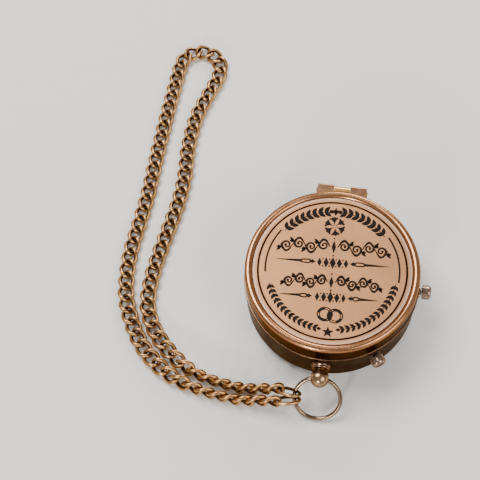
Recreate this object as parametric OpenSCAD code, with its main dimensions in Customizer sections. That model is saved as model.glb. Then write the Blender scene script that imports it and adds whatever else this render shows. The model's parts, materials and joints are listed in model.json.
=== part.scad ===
/* [Case] */
// Outside diameter of the drawn case and of its lid
case_dia = 57; // [50:0.5:66]
// Wall thickness of the drawn case
case_wall = 1; // [0.8:0.1:1.3]
// Height of the parting line, where the lid meets the case
parting_h = 17.5; // [16.5:0.1:19]
// Radius with which the case wall rolls into its base
case_corner_r = 4.2; // [3.4:0.2:6]
// How far the rolled lip stands out of the case wall
lip_proud = 0.35; // [0.2:0.05:0.4]
// Height of the rolled lip under the parting line
lip_h = 1.1; // [0.9:0.1:1.4]

/* [Neck and dial stack] */
// Height of the neck above the parting line
neck_h = 4.9; // [4.7:0.05:5]
// Wall thickness of the neck ring
neck_wall = 2; // [1.8:0.1:2.4]
// Depth of the neck's foot below the parting line
neck_foot_h = 1.2; // [1:0.1:1.5]
// Thickness of the ledge that carries the dial
ledge_t = 0.6; // [0.4:0.1:0.8]
// Thickness of the dial plate
dial_plate_t = 0.8; // [0.6:0.1:1]
// Thickness of the printed dial card
dial_card_t = 0.2; // [0.15:0.05:0.3]
// Width of the chapter ring round the dial
chapter_w = 2.86; // [2:0.02:4]
// Height of the chapter ring over the dial card
chapter_h = 0.8; // [0.5:0.1:1]
// Height of the spacer ring under the glass
spacer_h = 1.8; // [1.7:0.05:2]
// Thickness of the glass
glass_t = 1.5; // [1.2:0.1:1.6]
// Thickness of the gasket under the glass
gasket_t = 0.3; // [0.2:0.05:0.4]

/* [Lid] */
// Height of the lid from the parting line to the top of its bead
lid_h = 7.5; // [7.2:0.1:8.2]
// Wall thickness of the lid's skirt
lid_wall = 0.9; // [0.8:0.05:1.1]
// Width of the rounded bead round the lid
bead_w = 2.6; // [2.2:0.1:3]
// Thickness of the engraved lid plate
lid_plate_t = 0.9; // [0.7:0.05:1]
// Depth of the lid plate under the top of the bead
lid_plate_drop = 0.7; // [0.4:0.1:0.8]
// How far the lid opens, in degrees
lid_open_max = 115; // [90:1:120]

/* [Hinge] */
// Width over the three hinge knuckles
hinge_w = 16.7; // [14:0.1:20]
// Width of the middle knuckle
knuckle_mid_w = 5.2; // [4:0.1:6.5]
// Side of the outer knuckles, square in section
knuckle_side = 3.8; // [3.5:0.1:3.9]
// Distance from the case wall to the hinge axis
hinge_out = 2.9; // [2.85:0.05:3.4]
// Height of the hinge axis above the parting line
hinge_up = 0.7; // [0.5:0.05:0.9]
// Diameter of the hinge pin
hinge_pin_dia = 1.6; // [1.2:0.1:2]

/* [Stem and bow] */
// Depth of the stem's axis under the parting line
stem_drop = 5.2; // [4.8:0.1:5.6]
// Diameter of the stem's ball
ball_dia = 6.1; // [5.2:0.1:6.2]
// Distance from the case wall to the centre of the ball
ball_out = 4.7; // [4.5:0.1:5.4]
// Diameter of the stem's collar where it meets the case
collar_dia = 6.6; // [5.6:0.1:7]
// Diameter of the threaded shank through the case wall
shank_dia = 2.4; // [1.8:0.1:2.8]
// Diameter of the bow, at the middle of its wire
bow_dia = 15; // [13:0.1:17]
// Diameter of the bow's wire
bow_wire = 1.36; // [1.1:0.02:1.5]
// Height of the bow's lowest point over the ground when the compass lies down
bow_lift = 0.65; // [0.3:0.05:2]

/* [Side buttons] */
// Diameter of the button caps
cap_dia = 4.7; // [4.2:0.1:5.2]
// Height of the button caps
cap_h = 2.8; // [2.5:0.1:3.4]
// Diameter of the button stems
button_stem_dia = 1.8; // [1.5:0.1:2]
// Travel of the buttons
button_travel = 0.75; // [0.5:0.05:0.8]
// Angle of the lid release button round the case, in degrees
release_angle = -55; // [-58:1:-52]
// Angle of the needle brake button round the case, in degrees
brake_angle = 0; // [-10:1:20]

/* [Needle] */
// Gap between the needle's tips and the chapter ring
needle_gap = 2.8; // [2:0.1:5]
// Greatest width of the needle's blade
needle_w = 4.4; // [3.6:0.1:5]
// Thickness of the needle's blade
needle_t = 0.25; // [0.2:0.05:0.3]

/* [Chain] */
// Length of one chain link, outside
link_len = 7.7; // [7.4:0.05:8]
// Width of one chain link, outside
link_w = 5.95; // [5.7:0.05:6.3]
// Diameter of the chain's wire
link_wire = 1.4; // [1.25:0.05:1.45]
// How far the curb twist lifts each link's corners
link_twist_rise = 0.97; // [0.9:0.01:1.05]
// Play between one link and the next, along the chain
link_play = 0.45; // [0.42:0.01:0.55]
// Reach of the chain's loop, which its route is laid out by
chain_reach = 100; // [98:0.5:110]

/* [Hidden] */
$fn = 96;

// Clearances
fit_gap = 0.04;
run_gap = 0.05;
side_gap = 0.15;
part_gap = 0.15;
free_gap = 0.3;
over = 1;

// Case and lid levels
case_r = case_dia / 2;
case_in_r = case_r - case_wall;
lip_r = case_r + lip_proud;
lid_top = parting_h + lid_h;
lid_in_r = case_r - lid_wall;
neck_gap = 0.4;
neck_r = lid_in_r - neck_gap;
neck_bore_r = neck_r - neck_wall;
neck_foot_r = case_in_r - fit_gap;
neck_top = parting_h + neck_h;
ledge_w = 1;
ledge_z = parting_h - neck_foot_h;

// Levels in the dial stack
stack_r = neck_bore_r - fit_gap;
dial_show_r = stack_r - chapter_w;
dial_plate_z = ledge_z + ledge_t;
dial_card_z = dial_plate_z + dial_plate_t;
chapter_z = dial_card_z + dial_card_t;
spacer_z = chapter_z + chapter_h;
spacer_wall = 0.6;
gasket_z = spacer_z + spacer_h;
gasket_w = 0.9;
glass_z = gasket_z + gasket_t;
glass_edge = 0.3;
bezel_z = glass_z + glass_t;
bezel_w = 0.9;
bezel_t = 0.3;

// Lid rim
bead_r = bead_w / 2;
bead_mid_r = case_r - bead_r;
bead_z = lid_top - bead_r;
lid_plate_z = lid_top - lid_plate_drop - lid_plate_t;
lid_plate_r = case_r - bead_w - fit_gap;
rim_seat_w = 0.8;
rim_under_z = lid_plate_z - ledge_t;
engrave_inset = 1.66;
engrave_ring_r = lid_plate_r - engrave_inset;
engrave_w = 0.35;
engrave_depth = 0.1;

// Hinge
hinge_y = case_r + hinge_out;
hinge_z = parting_h + hinge_up;
knuckle_round = 0.8;
mid_knuckle_r = 1.85;
pin_head_h = 0.35;
leaf_plate_w = 12;
leaf_plate_h = 3.4;
leaf_plate_t = 0.8;
leaf_rise = 1.9;

// Stem
stem_z = parting_h - stem_drop;
ball_y = case_r + ball_out;
collar_h = 1.85;
collar_top_dia = 4.9;
stem_neck_dia = 3.4;
shank_in = 3.6;
bow_hole_dia = 1.7;
bow_hole_flare_dia = 2.9;
nut_af = 4.4;
nut_h = 1.8;
bow_r = bow_dia / 2;
bow_droop = asin((stem_z - bow_wire / 2 - bow_lift) / bow_dia);

// Buttons
bush_flange_dia = 4;
bush_flange_h = 0.75;
bush_dia = 3.4;
bush_in = 0.6;
pocket_dia = 2.9;
bush_pocket = 1.25;
cap_pocket = 0.7;
cap_round = 1.1;
cap_base_r = case_r + bush_flange_h + button_travel + run_gap;
button_spring_dia = 2.4;
button_spring_wire = 0.25;
button_spring_turns = 4.5;
clip_dia = 3.1;
clip_t = 0.4;
button_z = min(ledge_z - clip_dia / 2, parting_h - lip_h - bush_flange_dia / 2) - part_gap;
clip_r = case_in_r - bush_in - run_gap - clip_t;
release_tip_r = clip_r - 0.35;
taper_len = 1.5;
taper_dia = 0.8;

// Lid catch
catch_t = 0.4;
catch_gap = 0.2;
catch_r = release_tip_r - catch_gap - catch_t;
catch_h = 2.1;
catch_z = button_z - catch_h / 2;
catch_start = release_angle + 19;
catch_end = release_angle - 24;
tongue_span = 10;
tongue_shift = 1;
nose_z = parting_h + 1.7;
nose_h = 0.8;
nose_out = 0.35;
slot_span = 13;
slot_top = parting_h + 3.3;
slot_in = 0.6;
block_span = 9;
rivet_shares = [0.25, 0.75];
rivet_dia = 1;
rivet_head_dia = 1.7;
rivet_head_h = 0.3;

// Needle and pivot
needle_z = glass_z - 1.6;
needle_len = 2 * (dial_show_r - needle_gap);
hub_flange_dia = 5.4;
hub_flange_h = 0.3;
hub_dia = 2.9;
hub_h = 1.1;
jewel_dia = 1.8;
jewel_h = 0.8;
jewel_seat_h = 0.45;
jewel_seat_dia = 1;
pivot_gap = 0.05;
post_dia = 1.4;
post_flange_dia = 2.6;
post_flange_h = 0.5;
post_stop = 1.1;
point_dia = 0.6;
point_cone_h = 0.9;

// Needle brake lever
lever_t = 0.6;
lever_w = 3;
lever_z = dial_plate_z - 1.9;
lever_tip_x = case_in_r - 4.9;
lever_arm = 8.1;
lever_pivot_x = lever_tip_x - lever_arm;
lever_flat = 1.6;
lever_under = 0.8;
lever_tip_drop = lever_z + lever_t / 2 - button_z + lever_under;
lever_hub_dia = 1.8;
lever_pin_dia = 0.8;
fork_out_dia = 5.6;
fork_in_dia = 3;
prong_r = 2.2;
prong_dia = 0.9;
prong_top = needle_z - 0.7;
prong_hole_dia = 1.7;
ear_gap = 2.2;
ear_t = 0.6;
bracket_len = 5;
screw_dia = 0.9;
screw_head_dia = 1.6;
screw_head_h = 0.5;

// Chain links
link_a = (link_len - link_wire) / 2;
link_b = (link_w - link_wire) / 2;
link_twist = -link_twist_rise;
link_pitch = 2 * link_a - link_wire - link_play;
link_rings = 12;
link_sides = 5;
end_wire = 1.1;
end_link_b = 2.9;
end_gap = 0.55;
end_spread = 9;
end_drop = 4;
swing_middle = 8;
// Where the two runs of the chain lie round its loop, as shares of the chain's reach
route_shares = [
    [-0.137, -0.406], [-0.192, -0.408], [-0.252, -0.409], [-0.322, -0.403], [-0.394, -0.391],
    [-0.467, -0.368], [-0.537, -0.328], [-0.605, -0.266], [-0.656, -0.189], [-0.692, -0.107],
    [-0.708, -0.022], [-0.712, 0.078], [-0.702, 0.188], [-0.693, 0.297], [-0.69, 0.405],
    [-0.687, 0.514], [-0.683, 0.612], [-0.679, 0.699], [-0.673, 0.785], [-0.669, 0.859],
    [-0.655, 0.903], [-0.618, 0.931], [-0.572, 0.933], [-0.533, 0.909], [-0.515, 0.866],
    [-0.522, 0.81], [-0.548, 0.733], [-0.573, 0.635], [-0.58, 0.513], [-0.573, 0.405], [-0.577, 0.296],
    [-0.593, 0.187], [-0.611, 0.077], [-0.621, -0.027], [-0.614, -0.122], [-0.58, -0.195],
    [-0.527, -0.259], [-0.464, -0.31], [-0.397, -0.342], [-0.324, -0.359], [-0.252, -0.368],
    [-0.187, -0.368], [-0.132, -0.362]];
// Where the two runs start, out from the bow's left side and along it
start_out = 6.2;
start_side = -2.485;
finish_out = 5.7;
finish_side = 1.915;
// Where along each run the chain turns from its edge to lie flat, as shares of its reach
twist_shares = [0.24, 0.46];
// Length over which the chain climbs to the bow, as a share of its reach
climb_share = 0.14;
chain_end_lift = 2.7;
route_steps = 8;

// Section of the drawn case: outside line, then inside line
module case_section() {
    difference() {
        union() {
            square([case_r - case_corner_r, case_corner_r]);
            translate([0, case_corner_r]) square([case_r, parting_h - case_corner_r]);
            translate([case_r - case_corner_r, case_corner_r]) intersection() {
                circle(r = case_corner_r);
                translate([0, -case_corner_r]) square(case_corner_r);
            }
            translate([case_r - over, parting_h - lip_h]) square([over + lip_proud, lip_h]);
        }
        translate([0, case_wall]) {
            square([case_r - case_corner_r, case_corner_r]);
            translate([0, case_corner_r - case_wall]) square([case_in_r, parting_h]);
        }
        translate([case_r - case_corner_r, case_corner_r]) intersection() {
            circle(r = case_corner_r - case_wall);
            translate([0, -case_corner_r]) square(case_corner_r);
        }
    }
}

// A rod that points out from the compass's axis at one angle and height
module radial_rod(angle, z, from, to, d1, d2) {
    rotate([0, 0, angle]) translate([from, 0, z]) rotate([0, 90, 0])
        cylinder(d1 = d1, d2 = d2, h = to - from);
}

module flat_ring(z, h, r_out, r_in) {
    translate([0, 0, z]) difference() {
        cylinder(r = r_out, h = h);
        translate([0, 0, -over]) cylinder(r = r_in, h = h + 2 * over);
    }
}

module case_body() {
    color("saddlebrown") difference() {
        rotate_extrude() case_section();
        radial_rod(-90, stem_z, neck_bore_r, case_r + over, shank_dia + 2 * fit_gap, shank_dia + 2 * fit_gap);
        for (angle = [release_angle, brake_angle])
            radial_rod(angle, button_z, neck_bore_r, case_r + over,
                       bush_dia + 2 * fit_gap, bush_dia + 2 * fit_gap);
    }
}

module neck_ring() {
    color("peru") difference() {
        union() {
            flat_ring(ledge_z, neck_foot_h, neck_foot_r, neck_bore_r);
            flat_ring(ledge_z, ledge_t, neck_r, neck_bore_r - ledge_w);
            flat_ring(ledge_z, neck_foot_h + neck_h, neck_r, neck_bore_r);
        }
        rotate([0, 0, catch_end + tongue_shift + (tongue_span - slot_span) / 2])
            rotate_extrude(angle = slot_span)
                translate([neck_bore_r + slot_in, ledge_z - over])
                    square([case_r, slot_top - ledge_z + over]);
    }
}

module hinge_bore(dia) {
    translate([-hinge_w, hinge_y, hinge_z]) rotate([0, 90, 0]) cylinder(d = dia, h = 2 * hinge_w);
}

module hinge_leaf_case() {
    color("darkgoldenrod") difference() {
        union() {
            translate([-knuckle_mid_w / 2, hinge_y, hinge_z]) rotate([0, 90, 0])
                cylinder(r = mid_knuckle_r, h = knuckle_mid_w);
            translate([-knuckle_mid_w / 2, case_in_r, hinge_z - mid_knuckle_r])
                cube([knuckle_mid_w, hinge_y - case_in_r, leaf_rise - hinge_up]);
            intersection() {
                translate([-leaf_plate_w / 2, case_in_r, parting_h - lip_h - leaf_plate_h])
                    cube([leaf_plate_w, hinge_out, leaf_plate_h - fit_gap]);
                cylinder(r = case_r + leaf_plate_t, h = parting_h);
            }
            intersection() {
                translate([-knuckle_mid_w / 2, case_in_r, parting_h - lip_h - leaf_plate_h])
                    cube([knuckle_mid_w, hinge_out, leaf_plate_h + leaf_rise - hinge_up]);
                cylinder(r = lip_r + leaf_plate_t, h = parting_h);
            }
        }
        translate([0, 0, -over]) cylinder(r = case_r + fit_gap, h = lid_top);
        translate([0, 0, parting_h - lip_h - fit_gap]) cylinder(r = lip_r + fit_gap, h = lid_top);
        hinge_bore(hinge_pin_dia + 2 * run_gap);
    }
}

// One outer knuckle with its arm to the lid's skirt
module outer_knuckle(x, w) {
    flat = knuckle_side - 2 * knuckle_round;
    translate([x, 0, 0]) rotate([90, 0, 90]) linear_extrude(w) translate([hinge_y, hinge_z]) {
        square([knuckle_side, flat], center = true);
        square([flat, knuckle_side], center = true);
        for (y = [-flat / 2, flat / 2], z = [-flat / 2, flat / 2])
            translate([y, z]) circle(r = knuckle_round, $fn = 32);
    }
}

module hinge_leaf_lid() {
    outer_w = (hinge_w - knuckle_mid_w) / 2 - side_gap;
    arm_z = parting_h + part_gap;
    color("sienna") difference() {
        union() {
            for (x = [-hinge_w / 2, knuckle_mid_w / 2 + side_gap]) {
                outer_knuckle(x, outer_w);
                translate([x, case_in_r - bead_w, arm_z])
                    cube([outer_w, hinge_y - case_in_r + bead_w, hinge_z + knuckle_side / 2 - arm_z]);
            }
        }
        translate([0, 0, parting_h]) cylinder(r = case_r + fit_gap, h = lid_top);
        hinge_bore(hinge_pin_dia + 2 * fit_gap);
    }
}

module hinge_pin() {
    pin_len = hinge_w + 2 * fit_gap;
    color("goldenrod") translate([-pin_len / 2, hinge_y, hinge_z]) rotate([0, 90, 0]) {
        cylinder(d = hinge_pin_dia, h = pin_len);
        translate([0, 0, -pin_head_h])
            cylinder(d1 = hinge_pin_dia, d2 = hinge_pin_dia + pin_head_h, h = pin_head_h);
        translate([0, 0, pin_len])
            cylinder(d1 = hinge_pin_dia + pin_head_h, d2 = hinge_pin_dia, h = pin_head_h);
    }
}

// Section of the lid's rim: skirt, rounded bead and the seat for the lid plate
module rim_section() {
    difference() {
        union() {
            translate([lid_in_r, parting_h + part_gap]) square([lid_wall, bead_z - parting_h - part_gap]);
            translate([bead_mid_r, bead_z]) circle(r = bead_r, $fn = 64);
            translate([lid_plate_r - rim_seat_w, rim_under_z])
                square([bead_w + rim_seat_w + fit_gap, lid_plate_z - rim_under_z]);
            translate([lid_plate_r + fit_gap, rim_under_z]) square([bead_w, bead_z - rim_under_z]);
        }
        translate([0, lid_plate_z]) square([lid_plate_r + fit_gap, lid_h]);
        translate([0, parting_h]) square([lid_in_r, rim_under_z - parting_h]);
    }
}

module lid_rim() {
    color("chocolate") difference() {
        rotate_extrude() rim_section();
        rotate([0, 0, catch_end + tongue_shift + (tongue_span - slot_span) / 2])
            rotate_extrude(angle = slot_span)
                translate([lid_in_r - over, nose_z - free_gap])
                    square([over + nose_out + run_gap * 2, nose_h + 2 * free_gap]);
    }
}

module lid_plate() {
    color("rosybrown") difference() {
        translate([0, 0, lid_plate_z]) cylinder(r = lid_plate_r, h = lid_plate_t);
        flat_ring(lid_plate_z + lid_plate_t - engrave_depth, over, engrave_ring_r + engrave_w / 2,
                  engrave_ring_r - engrave_w / 2);
    }
}

module stem_collar() {
    color("sienna") difference() {
        radial_rod(-90, stem_z, case_in_r, case_r + collar_h, collar_dia, collar_top_dia);
        cylinder(r = case_r + fit_gap, h = lid_top);
        radial_rod(-90, stem_z, case_in_r - over, ball_y, shank_dia + 2 * fit_gap, shank_dia + 2 * fit_gap);
    }
}

// Half section of the turned stem: threaded shank, neck and ball, outwards along the stem
module stem_section() {
    translate([0, case_in_r - shank_in]) square([shank_dia / 2, ball_out + shank_in]);
    translate([0, case_r + collar_h + fit_gap]) square([stem_neck_dia / 2, ball_out - collar_h]);
    translate([0, ball_y]) intersection() {
        circle(d = ball_dia);
        translate([0, -ball_dia]) square([ball_dia, 2 * ball_dia]);
    }
}

module stem_knob() {
    color("goldenrod") translate([0, 0, stem_z]) difference() {
        rotate([90, 0, 0]) rotate([0, 0, 45]) rotate_extrude() stem_section();
        for (side = [0, 180])
            translate([0, -ball_y, 0]) rotate([0, 90, side])
                cylinder(d1 = bow_hole_dia, d2 = bow_hole_flare_dia, h = ball_dia / 2 + over);
    }
}

module stem_nut() {
    color("goldenrod") rotate([0, 0, -90]) translate([case_in_r - nut_h - side_gap, 0, stem_z])
        rotate([0, 90, 0]) difference() {
            cylinder(d = nut_af / cos(30), h = nut_h, $fn = 6);
            translate([0, 0, -over]) cylinder(d = shank_dia + 2 * fit_gap, h = nut_h + 2 * over);
        }
}

module button_bush(angle) {
    color("rosybrown") difference() {
        union() {
            radial_rod(angle, button_z, case_in_r - bush_in, case_r + bush_flange_h, bush_dia, bush_dia);
            difference() {
                radial_rod(angle, button_z, case_in_r, case_r + bush_flange_h,
                           bush_flange_dia, bush_flange_dia);
                cylinder(r = case_r + fit_gap, h = lid_top);
            }
        }
        radial_rod(angle, button_z, case_in_r - over - bush_in, lip_r + over,
                   button_stem_dia + 2 * run_gap, button_stem_dia + 2 * run_gap);
        radial_rod(angle, button_z, case_r + bush_flange_h - bush_pocket, case_r + over + bush_flange_h,
                   pocket_dia, pocket_dia);
    }
}

module release_bush() {
    button_bush(release_angle);
}

module brake_bush() {
    button_bush(brake_angle);
}

// Domed cap of a button, turned on the X axis from its underside
module button_cap() {
    rotate([0, 90, 0]) difference() {
        rotate_extrude() {
            square([cap_dia / 2, cap_h - cap_round]);
            square([cap_dia / 2 - cap_round, cap_h]);
            translate([cap_dia / 2 - cap_round, cap_h - cap_round]) intersection() {
                circle(r = cap_round, $fn = 48);
                square(cap_round);
            }
        }
        translate([0, 0, -over]) difference() {
            cylinder(d = pocket_dia, h = cap_pocket + over);
            cylinder(d = button_stem_dia, h = cap_pocket + 2 * over);
        }
    }
}

module button(angle, tip_r) {
    rotate([0, 0, angle]) translate([cap_base_r, 0, button_z]) button_cap();
    radial_rod(angle, button_z, tip_r, cap_base_r + cap_pocket + over, button_stem_dia, button_stem_dia);
}

module release_button() {
    color("rosybrown") button(release_angle, release_tip_r);
}

module brake_button() {
    taper_end = lever_tip_x + taper_len - lever_flat / 2;
    color("rosybrown") {
        button(brake_angle, taper_end);
        radial_rod(brake_angle, button_z, taper_end - taper_len, taper_end, taper_dia, button_stem_dia);
    }
}

module button_clip(angle) {
    color("silver") difference() {
        radial_rod(angle, button_z, clip_r, clip_r + clip_t, clip_dia, clip_dia);
        radial_rod(angle, button_z, clip_r - over, clip_r + over, button_stem_dia + fit_gap,
                   button_stem_dia + fit_gap);
    }
}

module release_clip() {
    button_clip(release_angle);
}

module brake_clip() {
    button_clip(brake_angle);
}

// Points of one ring of a tube: round centre c, across the directions u and v
function ring_points(c, u, v, r, sides) =
    [for (k = [0 : sides - 1]) c + r * (cos(360 * k / sides) * u + sin(360 * k / sides) * v)];

function unit(v) = v / norm(v);

function tube_faces(rings, sides, closed, base = 0) = concat(
    [for (i = [0 : rings - (closed ? 1 : 2)]) for (k = [0 : sides - 1])
        let (j = (i + 1) % rings, n = (k + 1) % sides)
            [base + i * sides + k, base + j * sides + k, base + i * sides + n]],
    [for (i = [0 : rings - (closed ? 1 : 2)]) for (k = [0 : sides - 1])
        let (j = (i + 1) % rings, n = (k + 1) % sides)
            [base + j * sides + k, base + j * sides + n, base + i * sides + n]],
    closed ? [] : [for (k = [1 : sides - 2]) [base, base + k, base + k + 1]],
    closed ? [] : [for (k = [1 : sides - 2])
        let (last = base + (rings - 1) * sides) [last, last + k + 1, last + k]]);

// A coil spring along +X from the origin
module coil(len, dia, wire, turns, per_turn = 9, sides = 5) {
    steps = round(turns * per_turn);
    rise = len - wire;
    points = [for (i = [0 : steps])
        let (t = 360 * turns * i / steps, n = [0, cos(t), sin(t)],
             c = [wire / 2 + rise * i / steps, dia / 2 * cos(t), dia / 2 * sin(t)])
            for (p = ring_points(c, [1, 0, 0], n, wire / 2, sides)) p];
    polyhedron(points, tube_faces(steps + 1, sides, false));
}

module button_spring(angle) {
    start = case_r + bush_flange_h - bush_pocket + run_gap;
    color("silver") rotate([0, 0, angle]) translate([start, 0, button_z])
        coil(cap_base_r + cap_pocket - run_gap - start, button_spring_dia, button_spring_wire,
             button_spring_turns);
}

module release_spring() {
    button_spring(release_angle);
}

module brake_spring() {
    button_spring(brake_angle);
}

// Section of the catch's tongue, from its strip up through the neck to the nose
module catch_tongue_section() {
    tongue_r = neck_bore_r + slot_in + button_travel;
    translate([catch_t / 2, catch_h - 2 * catch_t]) square([tongue_r - catch_r + catch_t / 2, catch_t]);
    translate([tongue_r - catch_r, catch_h - 2 * catch_t])
        square([catch_t, nose_z + nose_h - catch_z - catch_h + 2 * catch_t]);
    translate([tongue_r - catch_r, nose_z - catch_z]) polygon([
        [0, 0], [lid_in_r + nose_out - tongue_r, 0], [lid_in_r + nose_out - tongue_r, nose_h / 4],
        [catch_t, nose_h], [0, nose_h]]);
}

module catch_spring() {
    color("lightsteelblue") difference() {
        translate([0, 0, catch_z]) {
            rotate([0, 0, catch_end]) rotate_extrude(angle = catch_start - catch_end)
                translate([catch_r, 0]) square([catch_t, catch_h]);
            rotate([0, 0, catch_end + tongue_shift]) rotate_extrude(angle = tongue_span)
                translate([catch_r, 0]) catch_tongue_section();
        }
        rivet_holes();
    }
}

module rivet_holes() {
    for (share = rivet_shares)
        radial_rod(catch_start - block_span * share, catch_z + catch_h / 2, catch_r - over, case_in_r,
                   rivet_dia + 2 * fit_gap, rivet_dia + 2 * fit_gap);
}

module catch_block() {
    color("peru") difference() {
        rotate([0, 0, catch_start - block_span]) rotate_extrude(angle = block_span)
            translate([catch_r + catch_t + fit_gap, catch_z])
                square([case_in_r - catch_r - catch_t - 2 * fit_gap, catch_h]);
        rivet_holes();
    }
}

module catch_rivets() {
    color("peru") for (share = rivet_shares) {
        angle = catch_start - block_span * share;
        z = catch_z + catch_h / 2;
        radial_rod(angle, z, catch_r - rivet_head_h, case_in_r - side_gap, rivet_dia, rivet_dia);
        radial_rod(angle, z, catch_r - rivet_head_h - fit_gap, catch_r - fit_gap,
                   rivet_head_dia, rivet_head_dia);
    }
}

module dial_plate() {
    color("peru") difference() {
        translate([0, 0, dial_plate_z]) cylinder(r = stack_r, h = dial_plate_t);
        dial_holes();
        for (p = bracket_screw_places)
            translate([p[0], p[1], dial_plate_z - over])
                cylinder(d = screw_dia + 2 * fit_gap, h = over + dial_plate_t / 2);
    }
}

// Holes in the middle of the dial for the pivot post and the lever's prongs
module dial_holes() {
    translate([0, 0, dial_plate_z - over]) {
        cylinder(d = post_dia + 2 * fit_gap, h = dial_plate_t + dial_card_t + 2 * over);
        for (side = [-1, 1])
            translate([0, side * prong_r, 0])
                cylinder(d = prong_hole_dia, h = dial_plate_t + dial_card_t + 2 * over);
    }
}

module dial_card() {
    color("ivory") difference() {
        translate([0, 0, dial_card_z]) cylinder(r = stack_r, h = dial_card_t);
        dial_holes();
    }
}

module chapter_ring() {
    color("goldenrod") flat_ring(chapter_z, chapter_h, stack_r, dial_show_r);
}

module spacer_ring() {
    color("peru") flat_ring(spacer_z, spacer_h, stack_r, stack_r - spacer_wall);
}

module glass_gasket() {
    color("dimgray") flat_ring(gasket_z, gasket_t, stack_r, stack_r - gasket_w);
}

module glass() {
    color("lightcyan", 0.4) translate([0, 0, glass_z]) {
        cylinder(r = stack_r, h = glass_t - glass_edge);
        translate([0, 0, glass_t - glass_edge])
            cylinder(r1 = stack_r, r2 = stack_r - glass_edge, h = glass_edge);
    }
}

module bezel_ring() {
    color("goldenrod") flat_ring(bezel_z, bezel_t, stack_r, stack_r - bezel_w);
}

// Level of the pivot's tip, just under the bottom of the jewel's cup
tip_z = needle_z + jewel_seat_h + hub_flange_h + pivot_gap;

module pivot_post() {
    color("goldenrod") difference() {
        union() {
            translate([0, 0, dial_plate_z - post_flange_h]) {
                cylinder(d = post_flange_dia, h = post_flange_h);
                cylinder(d = post_dia, h = needle_z - dial_plate_z + post_flange_h - post_stop);
            }
        }
        translate([0, 0, dial_plate_z]) cylinder(d = point_dia + 2 * fit_gap, h = needle_z);
    }
}

module pivot_point() {
    color("silver") translate([0, 0, dial_plate_z]) {
        translate([0, 0, fit_gap]) cylinder(d = point_dia, h = tip_z - point_cone_h - dial_plate_z - fit_gap);
        translate([0, 0, tip_z - point_cone_h - dial_plate_z])
            cylinder(d1 = point_dia, d2 = 0, h = point_cone_h);
    }
}

module needle_blade() {
    half = needle_len / 2;
    shoulder = hub_flange_dia / 2;
    color("midnightblue") translate([0, 0, needle_z + hub_flange_h]) difference() {
        linear_extrude(needle_t) polygon([
            [0, half], [-needle_w / 2, shoulder], [-needle_w / 2, -shoulder], [0, -half],
            [needle_w / 2, -shoulder], [needle_w / 2, shoulder]]);
        translate([0, 0, -over]) cylinder(d = hub_dia + 2 * fit_gap, h = needle_t + 2 * over);
    }
}

module needle_cap() {
    color("gold") translate([0, 0, needle_z]) difference() {
        union() {
            cylinder(d = hub_flange_dia, h = hub_flange_h);
            cylinder(d = hub_dia, h = hub_h);
            translate([0, 0, hub_h]) cylinder(d1 = hub_dia, d2 = hub_dia / 2, h = hub_flange_h);
        }
        translate([0, 0, -over]) cylinder(d = jewel_dia + 2 * fit_gap, h = hub_h + over);
    }
}

module needle_jewel() {
    color("firebrick") translate([0, 0, needle_z + hub_flange_h]) difference() {
        cylinder(d = jewel_dia, h = jewel_h - fit_gap);
        cylinder(d1 = jewel_seat_dia, d2 = 0, h = jewel_seat_h + 2 * pivot_gap);
        translate([0, 0, -over]) cylinder(d = jewel_seat_dia, h = over);
    }
}

bracket_screw_places = [for (side = [-1, 1])
    [lever_pivot_x + side * (bracket_len / 2 - screw_head_dia / 2), 0]];

module lever_bracket() {
    ear_h = lever_hub_dia / 2 + dial_plate_z - lever_z;
    color("peru") rotate([0, 0, brake_angle]) difference() {
        union() {
            translate([lever_pivot_x - bracket_len / 2, -ear_gap - ear_t, dial_plate_z - ear_t])
                cube([bracket_len, 2 * ear_gap + 2 * ear_t, ear_t]);
            for (y = [-ear_gap - ear_t, ear_gap])
                translate([lever_pivot_x - lever_hub_dia, y, dial_plate_z - ear_h])
                    cube([2 * lever_hub_dia, ear_t, ear_h]);
        }
        for (p = bracket_screw_places)
            translate([p[0], p[1], dial_plate_z - over - ear_t])
                cylinder(d = screw_dia + 2 * fit_gap, h = 2 * over);
        translate([lever_pivot_x, 0, lever_z]) rotate([90, 0, 0])
            cylinder(d = lever_pin_dia + 2 * fit_gap, h = 4 * ear_gap, center = true);
    }
}

module bracket_screws() {
    color("goldenrod") rotate([0, 0, brake_angle]) for (p = bracket_screw_places)
        translate([p[0], p[1], dial_plate_z - ear_t]) {
            cylinder(d = screw_dia, h = ear_t + dial_plate_t / 2 - fit_gap);
            translate([0, 0, -screw_head_h]) cylinder(d = screw_head_dia, h = screw_head_h);
        }
}

module lever_pin() {
    color("silver") rotate([0, 0, brake_angle]) translate([lever_pivot_x, 0, lever_z]) rotate([90, 0, 0])
        cylinder(d = lever_pin_dia, h = 2 * (ear_gap + ear_t + fit_gap), center = true);
}

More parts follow.
